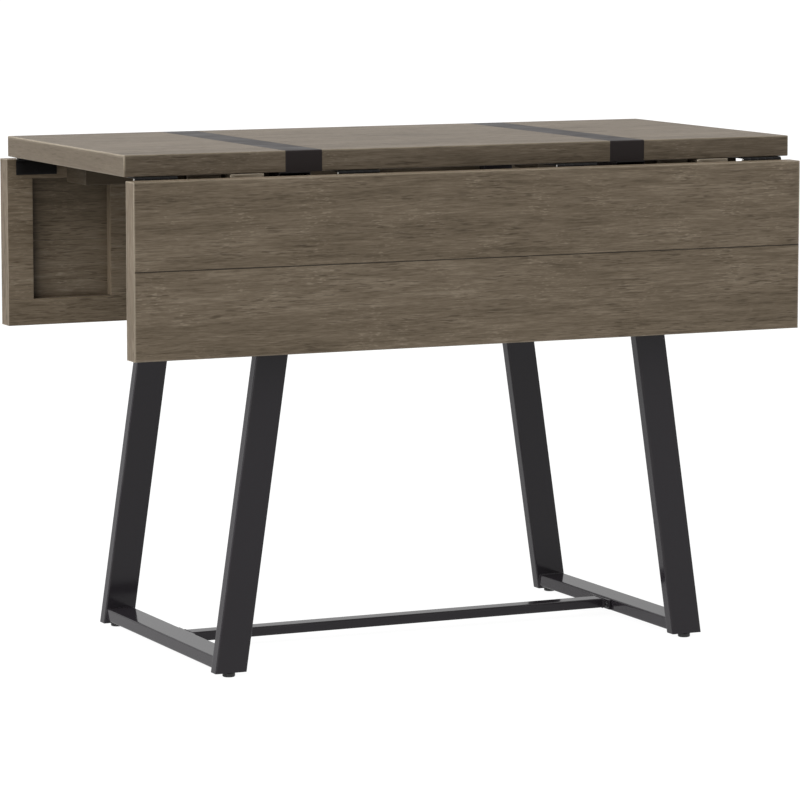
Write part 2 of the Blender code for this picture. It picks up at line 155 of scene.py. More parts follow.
def skin(name, grids, marks=None, joined_rows=False):
    """A body from grids of points: quads join each closed ring of points to the next ring.
    Flat faces close the first and the last ring, unless the rows of rings join up as well."""
    points, faces, start = [], [], 0
    for grid in grids:
        rows, count = grid.shape[:2]
        index = start + np.arange(rows * count).reshape(rows, count)
        near = index if joined_rows else index[:-1]
        far = np.roll(index, -1, axis=0) if joined_rows else index[1:]
        quads = np.stack([near, np.roll(near, -1, 1), np.roll(far, -1, 1), far], axis=-1)
        faces += quads.reshape(-1, 4).tolist()
        if not joined_rows:
            faces += [index[0, ::-1].tolist(), index[-1].tolist()]
        points.append(grid.reshape(-1, 3))
        start += rows * count
    return place_mesh(name, np.concatenate(points), faces, marks)


turn = np.linspace(0, 2 * np.pi, floor_spokes, endpoint=False)
reach = floor_radius * np.linspace(floor_first_ring, 1, floor_rings)[:, None] ** 2
floor_top = np.stack([reach * np.cos(turn), reach * np.sin(turn), np.zeros((floor_rings, floor_spokes))], -1)
floor = skin("studio_floor", [np.concatenate([floor_top, floor_top[::-1] - [0, 0, floor_thickness]])])
frosted_top, tree, shader = new_finish("frosted_floor", Roughness=0.9, Specular_IOR_Level=0.0)
place = put(tree, "TexCoord").outputs["Object"]
cloud = put(tree, "TexNoise", {"Vector": place, "Scale": frost_cells, "Detail": 2.0})
tint = ramp(tree, cloud.outputs["Fac"], (0.3, frost_dark), (0.7, frost_pale))
tree.links.new(tint, shader.inputs["Base Color"])
shader.inputs["Emission Color"].default_value = (1, 1, 1, 1)
seen = put(tree, "LightPath").outputs["Is Camera Ray"]
glow = put(tree, "MapRange", {"Value": seen, "To Min": floor_glow, "To Max": floor_white}).outputs["Result"]
tree.links.new(glow, shader.inputs["Emission Strength"])
floor.data.materials.append(frosted_top)
floor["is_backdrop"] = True

# Studio light
# A white tent round the table, brighter overhead, with a large soft lamp at the upper left, a weaker one low
# at the left front, a fill at the right and a pale wall at the back. The backdrop is shown plain white.
tent_strength = 0.12
overhead_strength = 0.9
overhead_narrowness = 1.0
lamp_strength = 9.3
lamp_direction = (-0.776, -0.100, 0.617)
lamp_narrowness = 12.0
low_lamp_strength = 1.2
low_lamp_direction = (-0.824, -0.553, 0.121)
low_lamp_narrowness = 8.0
fill_strength = 3.0
fill_direction = (0.951, 0.0, 0.309)
fill_narrowness = 8.0
wall_strength = 0.55
wall_narrowness = 3.0
backdrop_white = 1.05
world = bpy.data.worlds.new("white_tent")
world.use_nodes = True
tree = world.node_tree
ray = put(tree, "TexCoord").outputs["Generated"]


def maths(tree, operation, *values):
    """One step of arithmetic on the values given."""
    return put(tree, "Math", dict(enumerate(values)), operation=operation).outputs[0]


def lobe(towards, strength, narrowness, rest):
    """Light that is strongest one way: the cosine to that direction, to a power, on top of the rest."""
    cosine = put(tree, "VectorMath", {0: ray, 1: towards}, operation="DOT_PRODUCT").outputs["Value"]
    power = maths(tree, "POWER", maths(tree, "MAXIMUM", cosine, 0.0), narrowness)
    return maths(tree, "MULTIPLY_ADD", power, strength, rest)


tent = lobe((0, 0, 1), overhead_strength, overhead_narrowness, tent_strength)
tent = lobe((0, 1, 0), wall_strength, wall_narrowness, tent)
tent = lobe(fill_direction, fill_strength, fill_narrowness, tent)
tent = lobe(low_lamp_direction, low_lamp_strength, low_lamp_narrowness, tent)
tent = lobe(lamp_direction, lamp_strength, lamp_narrowness, tent)
tree.nodes["Background"].inputs["Color"].default_value = (1, 1, 1, 1)
seen = put(tree, "LightPath").outputs["Is Camera Ray"]
shown = put(tree, "Mix", {0: seen, 2: tent, 3: backdrop_white}, data_type="FLOAT").outputs[0]
tree.links.new(shown, tree.nodes["Background"].inputs["Strength"])
bpy.context.scene.world = world

# Leg frames
# Two frames of flat steel tube: legs that lean outwards, a rail under the wood and a rail near the floor.
# Each frame is welded at its corners and powder coated in a satin charcoal.
leg_width = 0.0495
tube_wall = 0.002
tube_corner = 0.0020
saw_edge = 0.0003
shoulder = 0.0015
short_flat = 0.6
corner_steps = 6
bead_radius = 0.0011
bead_ripple = 0.12
bead_pitch = 0.0032
bead_points = 160
bead_sides = 10
coat_colour = (0.0160, 0.0140, 0.0166)
coat_worn = (0.0220, 0.0200, 0.0220)
paint_cloud_cells = 14.0
paint_cloud_span = 0.3, 0.7
paint_rub_span = 0.40, 0.62
paint_gloss_swing = 0.15
paint_peel_strength = 0.25
AXES = np.eye(3)


def node_box(name):
    """The low and the high corner of a node's box."""
    return np.array(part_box(name))


def rounded_outline(half_a, half_b, corner):
    """A rectangle with round corners, one row of points for each size given. Each corner is a quarter circle
    about its own centre, with one radius for a row or one for each corner. One more point lies along the flat
    before it and after it, a shoulder's width off or less where the flat is short."""
    half_a = np.reshape(half_a, (-1, 1, 1))
    half_b = np.reshape(half_b, (-1, 1, 1))
    corner = np.array(corner, ndmin=2)[..., None]
    step = np.concatenate([[0], np.linspace(0, 90, corner_steps), [90]])
    angle = np.radians(90 * np.arange(4)[:, None] + step)
    lead = np.concatenate([[-1], np.zeros(corner_steps), [1]])
    slip_a = lead * np.minimum(shoulder, short_flat * (half_a - corner))
    slip_b = lead * np.minimum(shoulder, short_flat * (half_b - corner))
    side_a = np.array([1, -1, -1, 1])[:, None]
    side_b = np.array([1, 1, -1, -1])[:, None]
    a = side_a * (half_a - corner) + corner * np.cos(angle) - slip_a * np.sin(angle)
    b = side_b * (half_b - corner) + corner * np.sin(angle) + slip_b * np.cos(angle)
    return a.reshape(len(a), -1), b.reshape(len(b), -1)


def corner_marks(rows):
    """Ones on the round corners of an outline and zeros on its flats, for each of its rows."""
    return np.tile(np.concatenate([[0], np.ones(corner_steps), [0]]), (rows, 4))


def tube(name, start, end, axis_a, axis_b, half_a, half_b):
    """A hollow tube: its round-cornered outline runs along the outside, over the cut end, back along the
    inside and over the other end, shrinking by the wall on the inside and by the saw's burr at the cuts."""
    start, end = np.array(start), np.array(end)
    length = np.linalg.norm(end - start)
    near_cut = [(0, saw_edge), (saw_edge, 0), (saw_edge + shoulder, 0)]
    far_cut = [(length - along, inset) for along, inset in reversed(near_cut)]
    inside = [(length, tube_wall), (length - shoulder, tube_wall), (shoulder, tube_wall), (0, tube_wall)]
    along, inset = np.array(near_cut + far_cut + inside).T
    corner = np.maximum(tube_corner - inset, saw_edge)[:, None]
    a, b = rounded_outline(half_a - inset, half_b - inset, corner)
    middle = start + (end - start) * (along / length)[:, None]
    grid = middle[:, None] + a[..., None] * axis_a + b[..., None] * axis_b
    return skin(name, [grid], {"edge": corner_marks(len(grid))}, joined_rows=True)


def even_outline(half_a, half_b, corner, count):
    """A rounded rectangle read at even steps of its length: its points, each one's share of the way round
    and the length."""
    a, b = rounded_outline(half_a, half_b, corner)
    path = np.stack([a[0], b[0]], axis=1)
    path = np.concatenate([path, path[:1]])
    run = np.concatenate([[0], np.cumsum(np.linalg.norm(np.diff(path, axis=0), axis=1))])
    even = np.linspace(0, run[-1], count, endpoint=False)
    path = np.stack([np.interp(even, run, path[:, 0]), np.interp(even, run, path[:, 1])], axis=1)
    return path, even / run[-1], run[-1]


def bead_grid(middle, axis_a, axis_b, half_a, half_b):
    """A weld bead round a tube's end: a small circle carried round the tube's outline, with its radius
    rippling along the way."""
    path, way, length = even_outline(half_a, half_b, tube_corner, bead_points)
    ahead = np.roll(path, -1, axis=0) - np.roll(path, 1, axis=0)
    ahead /= np.linalg.norm(ahead, axis=1, keepdims=True)
    outward = ahead[:, 1:] * axis_a - ahead[:, :1] * axis_b
    ripples = round(length / bead_pitch)
    radius = bead_radius * (1 + bead_ripple * np.cos(2 * np.pi * ripples * way))
    around = np.linspace(0, 2 * np.pi, bead_sides, endpoint=False)[:, None]
    ring = np.cos(around) * outward[:, None] + np.sin(around) * np.cross(axis_a, axis_b)
    centre = np.array(middle) + path[:, :1] * axis_a + path[:, 1:] * axis_b
    return centre[:, None] + radius[:, None, None] * ring


def new_group(name, inputs, outputs):
    """A shader node group with named sockets, each given as its name and its kind."""
    group = bpy.data.node_groups.new(name, "ShaderNodeTree")
    for label, kind in inputs:
        group.interface.new_socket(label, in_out="INPUT", socket_type="NodeSocket" + kind)
    for label, kind in outputs:
        group.interface.new_socket(label, in_out="OUTPUT", socket_type="NodeSocket" + kind)
    return group, group.nodes.new("NodeGroupInput").outputs, group.nodes.new("NodeGroupOutput").inputs


def between(tree, value, low, high):
    """Zero below the low value, one above the high one and a straight slope between."""
    return put(tree, "MapRange", {"Value": value, "From Min": low, "From Max": high}).outputs["Result"]


def blend(tree, factor, one, other):
    """One colour laid over another by a factor."""
    return put(tree, "Mix", {0: factor, 6: one, 7: other}, data_type="RGBA").outputs[2]


coat_grain, given, result = new_group(
    "paint_grain", [("Place", "Vector"), ("Cells per metre", "Float")],
    [("Cloud", "Float"), ("Peel", "Float")])
cells = {0: given["Place"], "Scale": given["Cells per metre"]}
cells = put(coat_grain, "VectorMath", cells, operation="SCALE").outputs[0]
peel = put(coat_grain, "TexNoise", {"Vector": cells, "Scale": 1.0, "Detail": 2.0})
cloud = put(coat_grain, "TexNoise", {"Vector": given["Place"], "Scale": paint_cloud_cells, "Detail": 3.0})
coat_grain.links.new(peel.outputs["Fac"], result["Peel"])
coat_grain.links.new(cloud.outputs["Fac"], result["Cloud"])


def hard_finish(name, colour, worn, roughness, peel_cells, peel_depth, **plain):
    """Steel, paint or plastic with a cloudy gloss, a fine orange peel and slightly paler corners."""
    material, tree, shader = new_finish(name, **plain)
    place = put(tree, "TexCoord").outputs["Object"]
    grain = put(tree, "Group", {"Place": place, "Cells per metre": peel_cells}, node_tree=coat_grain).outputs
    edge = put(tree, "Attribute", attribute_name="edge").outputs["Fac"]
    rub = maths(tree, "MULTIPLY", edge, between(tree, grain["Cloud"], *paint_rub_span))
    tree.links.new(blend(tree, rub, (*colour, 1), (*worn, 1)), shader.inputs["Base Color"])
    gloss = put(tree, "MapRange", {"Value": grain["Cloud"],
                                   "From Min": paint_cloud_span[0],
                                   "From Max": paint_cloud_span[1],
                                   "To Min": roughness * (1 - paint_gloss_swing),
                                   "To Max": roughness * (1 + paint_gloss_swing)})
    tree.links.new(gloss.outputs["Result"], shader.inputs["Roughness"])
    bump = put(tree, "Bump", {"Height": grain["Peel"], "Strength": paint_peel_strength,
                              "Distance": peel_depth})
    tree.links.new(bump.outputs["Normal"], shader.inputs["Normal"])
    return material


def dress(piece, material, body, slot, *nodes):
    """Gives a piece its finish and the body that it rides on, and hides the nodes that it stands for. Its
    slot is not used.
    """
    piece.data.materials.append(material)
    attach(piece, body)
    if nodes:
        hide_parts(*nodes)


charcoal_coat = hard_finish("charcoal_powder_coat", coat_colour, coat_worn, roughness=0.11,
                            peel_cells=900.0, peel_depth=0.00006, Specular_IOR_Level=0.27)
for side, sign in (("left", -1), ("right", 1)):
    beads = []
    for kind in ("bottom_rail", "top_rail"):
        low, high = node_box(f"{kind}_{side}")
        middle = (low + high) / 2
        half = (high - low) / 2
        ends = middle - AXES[1] * half[1], middle + AXES[1] * half[1]
        rail = tube(f"{kind}_tube_{side}", *ends, AXES[0], AXES[2], half[0], half[2])
        dress(rail, charcoal_coat, "table", "frame_steel", f"{kind}_{side}")
        if kind == "bottom_rail":
            beads += [bead_grid(end, AXES[0], AXES[2], half[0], half[2]) for end in ends]
    for face in ("front", "back"):
        low, high = node_box(f"leg_{face}_{side}")
        foot_x = (low if sign < 0 else high)[0] - sign * leg_width / 2
        head_x = (high if sign < 0 else low)[0] + sign * leg_width / 2
        middle_y = (low[1] + high[1]) / 2
        foot = np.array([foot_x, middle_y, low[2]])
        head = np.array([head_x, middle_y, high[2]])
        leg_half = leg_width / 2, (high[1] - low[1]) / 2
        leg = tube(f"leg_tube_{face}_{side}", foot, head, AXES[0], AXES[1], *leg_half)
        dress(leg, charcoal_coat, "table", "frame_steel", f"leg_{face}_{side}")
        beads.append(bead_grid(head, AXES[0], AXES[1], *leg_half))
    welds = skin(f"frame_welds_{side}", beads, joined_rows=True)
    dress(welds, charcoal_coat, "table", "frame_steel")

# Stretcher
# A flat tube joins the two frames near the floor, with a flange welded round each end.
# Each flange is fixed to its rail by two button-head bolts with a hexagon socket.
stretcher_width = 0.0274
stretcher_height = 0.0146
flange_thickness = 0.004
flange_ease = 0.0009
flange_margin = 0.0004
cap_share = 0.8
least_ease = 0.12
slow_waver, slow_start = 61.0, 900.0
quick_waver, quick_start = 163.0, 700.0
bolt_sides = 48
bolt_head_height = 0.003
bolt_shank = 0.003
bolt_tip = 0.0025
bolt_taper = 0.0005
dome_skirt = 0.0004
dome_height = 0.0026
dome_angles = np.radians(np.linspace(20, 90, 8))
socket_middle = 0.0002
socket_width = 0.0032
socket_depth = 0.0016
lip_drop = 0.00015
lip_flare = 0.0002
socket_sixness = (1, 1, 1, 0.6)
bolt_colour = (0.010, 0.010, 0.011)
bolt_worn = (0.035, 0.034, 0.034)


def block_grid(low, high, along, ease, cuts=(), step=0.04, waver=0.0, corners=(1, 1, 1, 1), worn=(1, 1, 1, 1),
               end_ease=None, end_paling=1.0):
    """A block with eased edges: a round-cornered outline carried along one axis. At both ends it draws in
    along a quarter circle, and in each cut it is smaller at the top and at both sides. The easing may waver
    along the way, as the mean of a slow and a quick sine wave, and each of the four long edges takes a share
    of it. Returns the points and the marks of the eased edges: how pale an edge is painted, partly as wear
    and partly as a highlight, minus one where it lies in a groove and nothing on the flats. The ends have one
    paling for all, or one for each long edge.
    A cut of no depth only adds rings of points where it starts and stops."""
    low, high = np.array(low), np.array(high)
    a_axis, b_axis = [axis for axis in range(3) if axis != along]
    first, last = low[along], high[along]
    size = (high - low) / 2
    bend = np.radians(np.linspace(90, 0, corner_steps))
    tip = ease if end_ease is None else end_ease
    brim = min(tip + shoulder, cap_share * min(size[a_axis], size[b_axis]))
    entry = [(first, brim, 0, 0)]
    entry += [(first + tip - tip * math.sin(t), tip - tip * math.cos(t), 0, 1) for t in bend]
    entry += [(first + tip + shoulder, 0, 0, 0)]
    leave = [(first + last - where, inset, cut, mark) for where, inset, cut, mark in reversed(entry)]
    stops = [entry[-1][0]]
    for start, stop, _ in cuts:
        stops += [start, stop]
    stops += [leave[0][0]]
    middle = []
    for number, (start, stop) in enumerate(zip(stops, stops[1:])):
        depth = cuts[number // 2][2] if number % 2 else 0
        count = max(2, round((stop - start) / step))
        middle += [(where, 0, depth, 0) for where in np.linspace(start, stop, count + 1)]
    rings = entry[:-1] + middle + leave[1:]
    rings = [ring for ring, ahead in zip(rings, rings[1:] + [None]) if ring != ahead]
    place, inset, cut, mark = np.array(rings).T
    slow_wave = np.sin(place * slow_waver + size[b_axis] * slow_start)
    quick_wave = np.sin(place * quick_waver + low[b_axis] * quick_start)
    wave = 1 + waver * (slow_wave + quick_wave) / 2
    radius = np.maximum(ease * wave - inset, ease * least_ease)[:, None] * np.array(corners)
    a, b = rounded_outline(size[a_axis] - inset - cut, size[b_axis] - inset - cut / 2, radius)
    grid = np.empty((*a.shape, 3))
    grid[..., along] = place[:, None]
    grid[..., a_axis] = (low + high)[a_axis] / 2 + a
    grid[..., b_axis] = (low + high)[b_axis] / 2 - cut[:, None] / 2 + b
    edges = corner_marks(len(place)) * np.repeat(worn, corner_steps + 2)
    rim = np.repeat(np.broadcast_to(end_paling, 4), corner_steps + 2)
    return grid, np.where(mark[:, None] > 0, np.where(edges < 0, edges, rim), edges)


def turned_grid(centre, axis, profile, sides, six=None):
    """A turned piece: each row of its profile is a ring of one radius at one place along the axis. Where a
    row's six-sidedness is one, the ring is a hexagon of that radius across its flats."""
    radius, where = np.array(profile).T
    around = np.linspace(0, 2 * np.pi, sides, endpoint=False)
    hexagon = 1 / np.cos((around % (np.pi / 3)) - np.pi / 6)
    flat = np.zeros(len(radius)) if six is None else np.array(six)
    spread = radius[:, None] * (1 + flat[:, None] * (hexagon - 1))
    a_axis, b_axis = [AXES[k] for k in range(3) if k != axis]
    ring = np.cos(around)[:, None] * a_axis + np.sin(around)[:, None] * b_axis
    return np.array(centre) + spread[..., None] * ring + where[:, None, None] * AXES[axis]


low, high = node_box("stretcher")
bar_middle = np.array([0, 0, high[2] - flange_margin - stretcher_height / 2])
bar_half = stretcher_width / 2, stretcher_height / 2
bar_start = bar_middle + AXES[0] * (low[0] + flange_thickness / 2)
bar_end = bar_middle + AXES[0] * (high[0] - flange_thickness / 2)
bar = tube("stretcher_tube", bar_start, bar_end, AXES[1], AXES[2], *bar_half)
dress(bar, charcoal_coat, "table", "frame_steel", "stretcher")
bolt_finish = hard_finish("black_oxide_bolt", bolt_colour, bolt_worn, roughness=0.32, peel_cells=2600.0,
                          peel_depth=0.00008, Metallic=0.6)
for side, sign in (("left", -1), ("right", 1)):
    seat = low[0] if sign < 0 else high[0]
    span = sorted((seat, seat - sign * flange_thickness))
    plate, marks = block_grid((span[0], low[1], low[2]), (span[1], high[1], high[2]), 1, flange_ease)
    flange = skin(f"stretcher_flange_{side}", [plate], {"edge": marks})
    dress(flange, charcoal_coat, "table", "frame_steel")
    collar = bar_middle + AXES[0] * span[0 if sign > 0 else 1]
    weld = skin(f"stretcher_weld_{side}", [bead_grid(collar, AXES[1], AXES[2], *bar_half)], joined_rows=True)
    dress(weld, charcoal_coat, "table", "frame_steel")
    for face in ("front", "back"):
        name = f"stretcher_bolt_{face}_{side}"
        bolt_low, bolt_high = node_box(name)
        middle = (bolt_low + bolt_high) / 2
        middle[0] = 0
        crown = bolt_high[0] if sign < 0 else bolt_low[0]
        tip = bolt_low[0] if sign < 0 else bolt_high[0]
        head = (bolt_high[1] - bolt_low[1]) / 2
        under = crown + sign * bolt_head_height
        bottom = crown + sign * socket_depth
        flat = socket_width / 2
        socket = [(socket_middle, bottom), (flat, bottom), (flat, crown + sign * lip_drop),
                  (flat + lip_flare, crown)]
        rise = dome_skirt + dome_height * np.cos(dome_angles)
        dome = np.column_stack([head * np.sin(dome_angles), under - sign * rise])
        shank = [(head, under), (bolt_shank, under), (bolt_shank, tip - sign * bolt_taper), (bolt_tip, tip)]
        profile = np.concatenate([socket, dome, shank])
        six = np.zeros(len(profile))
        six[:len(socket)] = socket_sixness
        bolt = skin(f"{name}_head", [turned_grid(middle, 0, profile, bolt_sides, six)])
        dress(bolt, bolt_finish, "table", "bolt_steel", name)

# Levelling feet
# Round plastic pads, each moulded in one with a threaded stem and screwed into a plastic plug in a leg's open
# foot. They are turned by hand to level the table.
foot_sides = 40
foot_middle = 0.0005
pad_ease = 0.0020
pad_gap = 0.0003
pad_hollow = 0.0004
hollow_share = 0.60
brim_share = 0.66
stem_radius = 0.004
stem_collar = 0.001
stem_clearance = 0.0004
thread_pitch = 0.00125
thread_depth = 0.0005
thread_start = 0.0004
thread_rows = 132
plug_height = 0.012
plug_recess = 0.0003
plug_points = 96
plastic_colour = (0.0095, 0.0095, 0.0100)
plastic_worn = (0.0150, 0.0150, 0.0155)
pad_plastic = hard_finish("black_pad_plastic", plastic_colour, plastic_worn, roughness=0.48,
                          peel_cells=1800.0, peel_depth=0.00012)


def foot_grid(centre, pad_radius, pad_height, top):
    """A pad with a threaded stem: the pad's profile rounds over at both edges, and the stem's radius swings
    in a smooth wave that climbs one pitch in each turn."""
    around = np.linspace(0, 2 * np.pi, foot_sides, endpoint=False)
    bend = np.radians(np.linspace(0, 90, corner_steps))
    under = [(foot_middle, pad_hollow), (pad_radius * hollow_share, pad_hollow), (pad_radius * brim_share, 0)]
    inner = pad_radius - pad_ease
    lower = np.column_stack([inner + pad_ease * np.sin(bend), pad_ease - pad_ease * np.cos(bend)])
    rim_ease = pad_ease / 2
    rim_inner, rim_height = pad_radius - rim_ease, pad_height - rim_ease
    upper = np.column_stack([rim_inner + rim_ease * np.cos(bend), rim_height + rim_ease * np.sin(bend)])
    over = [(stem_radius + stem_collar, pad_height), (stem_radius - thread_depth, pad_height)]
    radius, height = np.concatenate([under, lower, upper, over]).T
    pad_radii = np.repeat(radius[:, None], foot_sides, axis=1)
    climb = np.linspace(pad_height + thread_start, top, thread_rows)
    wave = np.cos(2 * np.pi * climb[:, None] / thread_pitch - around)
    stem_radii = stem_radius - thread_depth / 2 + thread_depth / 2 * wave
    tip_radii = np.array([[stem_radius - 2 * thread_depth], [foot_middle]]) * np.ones(foot_sides)
    radii = np.concatenate([pad_radii, stem_radii, tip_radii])
    heights = np.concatenate([height, climb, [top, top]])
    ring = np.stack([radii * np.cos(around), radii * np.sin(around)], axis=-1)
    lift = np.broadcast_to(heights[:, None, None], (*radii.shape, 1))
    return np.concatenate([np.array(centre)[:2] + ring, lift], axis=-1)


for side in ("left", "right"):
    for face in ("front", "back"):
        name = f"foot_{face}_{side}"
        low, high = node_box(name)
        middle = (low + high) / 2
        leg_low, leg_high = node_box(f"leg_{face}_{side}")
        pad_radius = (high[0] - low[0]) / 2
        foot = skin(f"{name}_pad", [foot_grid(middle, pad_radius, leg_low[2] - pad_gap, high[2])])
        dress(foot, pad_plastic, name, "foot_plastic", name)
        half_a = leg_width / 2 - tube_wall - saw_edge
        half_b = (leg_high[1] - leg_low[1]) / 2 - tube_wall - saw_edge
        rim, way, length = even_outline(half_a, half_b, tube_corner / 2, plug_points)
        angle = 2 * np.pi * (way + rim[0, 1] / length)
        hole = (stem_radius + stem_clearance) * np.stack([np.cos(angle), np.sin(angle)], axis=-1)
        bottom = leg_low[2] + plug_recess
        levels = [(rim, bottom), (rim, bottom + plug_height), (hole, bottom + plug_height), (hole, bottom)]
        grid = np.stack([np.column_stack([middle[:2] + ring, np.full(len(ring), z)]) for ring, z in levels])
        plug = skin(f"leg_plug_{face}_{side}", [grid], joined_rows=True)
        dress(plug, pad_plastic, "table", "foot_plastic")

# Wooden top
# A thick board faced with stained oak veneer: the grain runs along it on top, under and on the long edges,
# and across it on the edging of its ends. A shallow channel crosses it for each steel strap.
board_ease = 0.0014
board_waver = 0.3
channel_depth = 0.0023
channel_fit = 0.0003
# How pale the top's long edges and its ends are painted, partly as wear and partly as a highlight.
top_edge_paling = (0.4, 0.4, 0.1, 0.1)
top_end_edge_paling = (0.9, 0.9, 0.2, 0.2)
oak_dark = (0.047, 0.034, 0.021)
oak_brown = (0.100, 0.077, 0.051)
oak_grey = (0.133, 0.104, 0.072)
oak_pale = (0.196, 0.160, 0.117)
oak_stains = (0.12, oak_dark), (0.38, oak_brown), (0.60, oak_grey), (0.88, oak_pale)
oak_roughness = 0.56
oak_gloss_swing = 0.10
oak_bump_strength = 0.35
oak_bump_depth = 0.0003
# Pale eased edges: partly rubbed stain and partly a painted highlight, strongest on the ends.
edge_wear_and_highlight = (0.30, 0.26, 0.20)
edge_paling_least = 0.3
edge_paling_swing = 0.6
# Dark in the fine grooves between boards, and the colour of the painted shade on the leaf panels.
groove_and_shade_dark = (0.012, 0.009, 0.006)
groove_span = -0.6, -1.0
groove_share = 0.8
end_facing = 0.72
end_calm = 0.70
middle_tone = 0.5
noise_mean = 0.5
board_shift = (0.731, 0.213, 0.157)
sway_cells, sway_reach = (1.6, 5.0), (0.0, 0.012, 0.012)
broad_cells, broad_share = (2.2, 17.0), 0.40
mottle_cells, mottle_share = (8.5, 95.0), 0.56
streak_cells, streak_share, streak_roughness = (24.0, 390.0), 0.88, 0.68
fibre_cells, fibre_share = (70.0, 900.0), 0.35
fleck_cells, fleck_span, fleck_share = (110.0, 520.0), (0.56, 0.70), 0.26
shoal_cells, shoal_span = (17.0, 21.0), (0.46, 0.68)
pore_cells, pore_span = (45.0, 580.0), (0.56, 0.68)
pore_depth, pore_calming = 0.75, 0.8
crowd_cells, crowd_span = (9.0, 40.0), (0.36, 0.64)
oak_figure, given, result = new_group(
    "oak_figure", [("Place", "Vector"), ("Board", "Float")],
    [("Tone", "Float"), ("Pores", "Float"), ("Relief", "Float")])


def grain_noise(place, cells, detail=1.0, roughness=0.5, output="Fac"):
    """Noise of the oak's figure, on a place that is multiplied by its cells in a metre along the grain and
    across it."""
    along, across = cells
    stretch = along, across, across
    place = put(oak_figure, "VectorMath", {0: place, 1: stretch}, operation="MULTIPLY").outputs[0]
    look = {"Vector": place, "Scale": 1.0, "Detail": detail, "Roughness": roughness}
    return put(oak_figure, "TexNoise", look).outputs[output]


shift = put(oak_figure, "VectorMath", {0: board_shift, "Scale": given["Board"]}, operation="SCALE").outputs[0]
place = put(oak_figure, "VectorMath", {0: given["Place"], 1: shift}, operation="ADD").outputs[0]
sway = grain_noise(place, sway_cells, output="Color")
sway = put(oak_figure, "VectorMath", {0: sway, 1: sway_reach}, operation="MULTIPLY").outputs[0]
place = put(oak_figure, "VectorMath", {0: place, 1: sway}, operation="ADD").outputs[0]
broad = grain_noise(place, broad_cells)
mottle = grain_noise(place, mottle_cells, detail=2.0)
streak = grain_noise(place, streak_cells, detail=3.0, roughness=streak_roughness)
fibre = grain_noise(place, fibre_cells, detail=2.0)
crowd = between(oak_figure, grain_noise(place, crowd_cells), *crowd_span)
pores = between(oak_figure, grain_noise(place, pore_cells), *pore_span)
pores = maths(oak_figure, "MULTIPLY", pores, crowd)
shoal = between(oak_figure, grain_noise(place, shoal_cells), *shoal_span)
flecks = between(oak_figure, grain_noise(place, fleck_cells), *fleck_span)
flecks = maths(oak_figure, "MULTIPLY", flecks, shoal)
tone = middle_tone - noise_mean * (broad_share + mottle_share + streak_share + fibre_share)
for value, share in ((broad, broad_share), (mottle, mottle_share), (streak, streak_share),
                     (fibre, fibre_share), (flecks, fleck_share)):
    tone = maths(oak_figure, "MULTIPLY_ADD", value, share, tone)
relief = maths(oak_figure, "SUBTRACT", maths(oak_figure, "ADD", fibre, streak), pores)
for label, value in (("Tone", tone), ("Pores", pores), ("Relief", relief)):
    oak_figure.links.new(value, result[label])


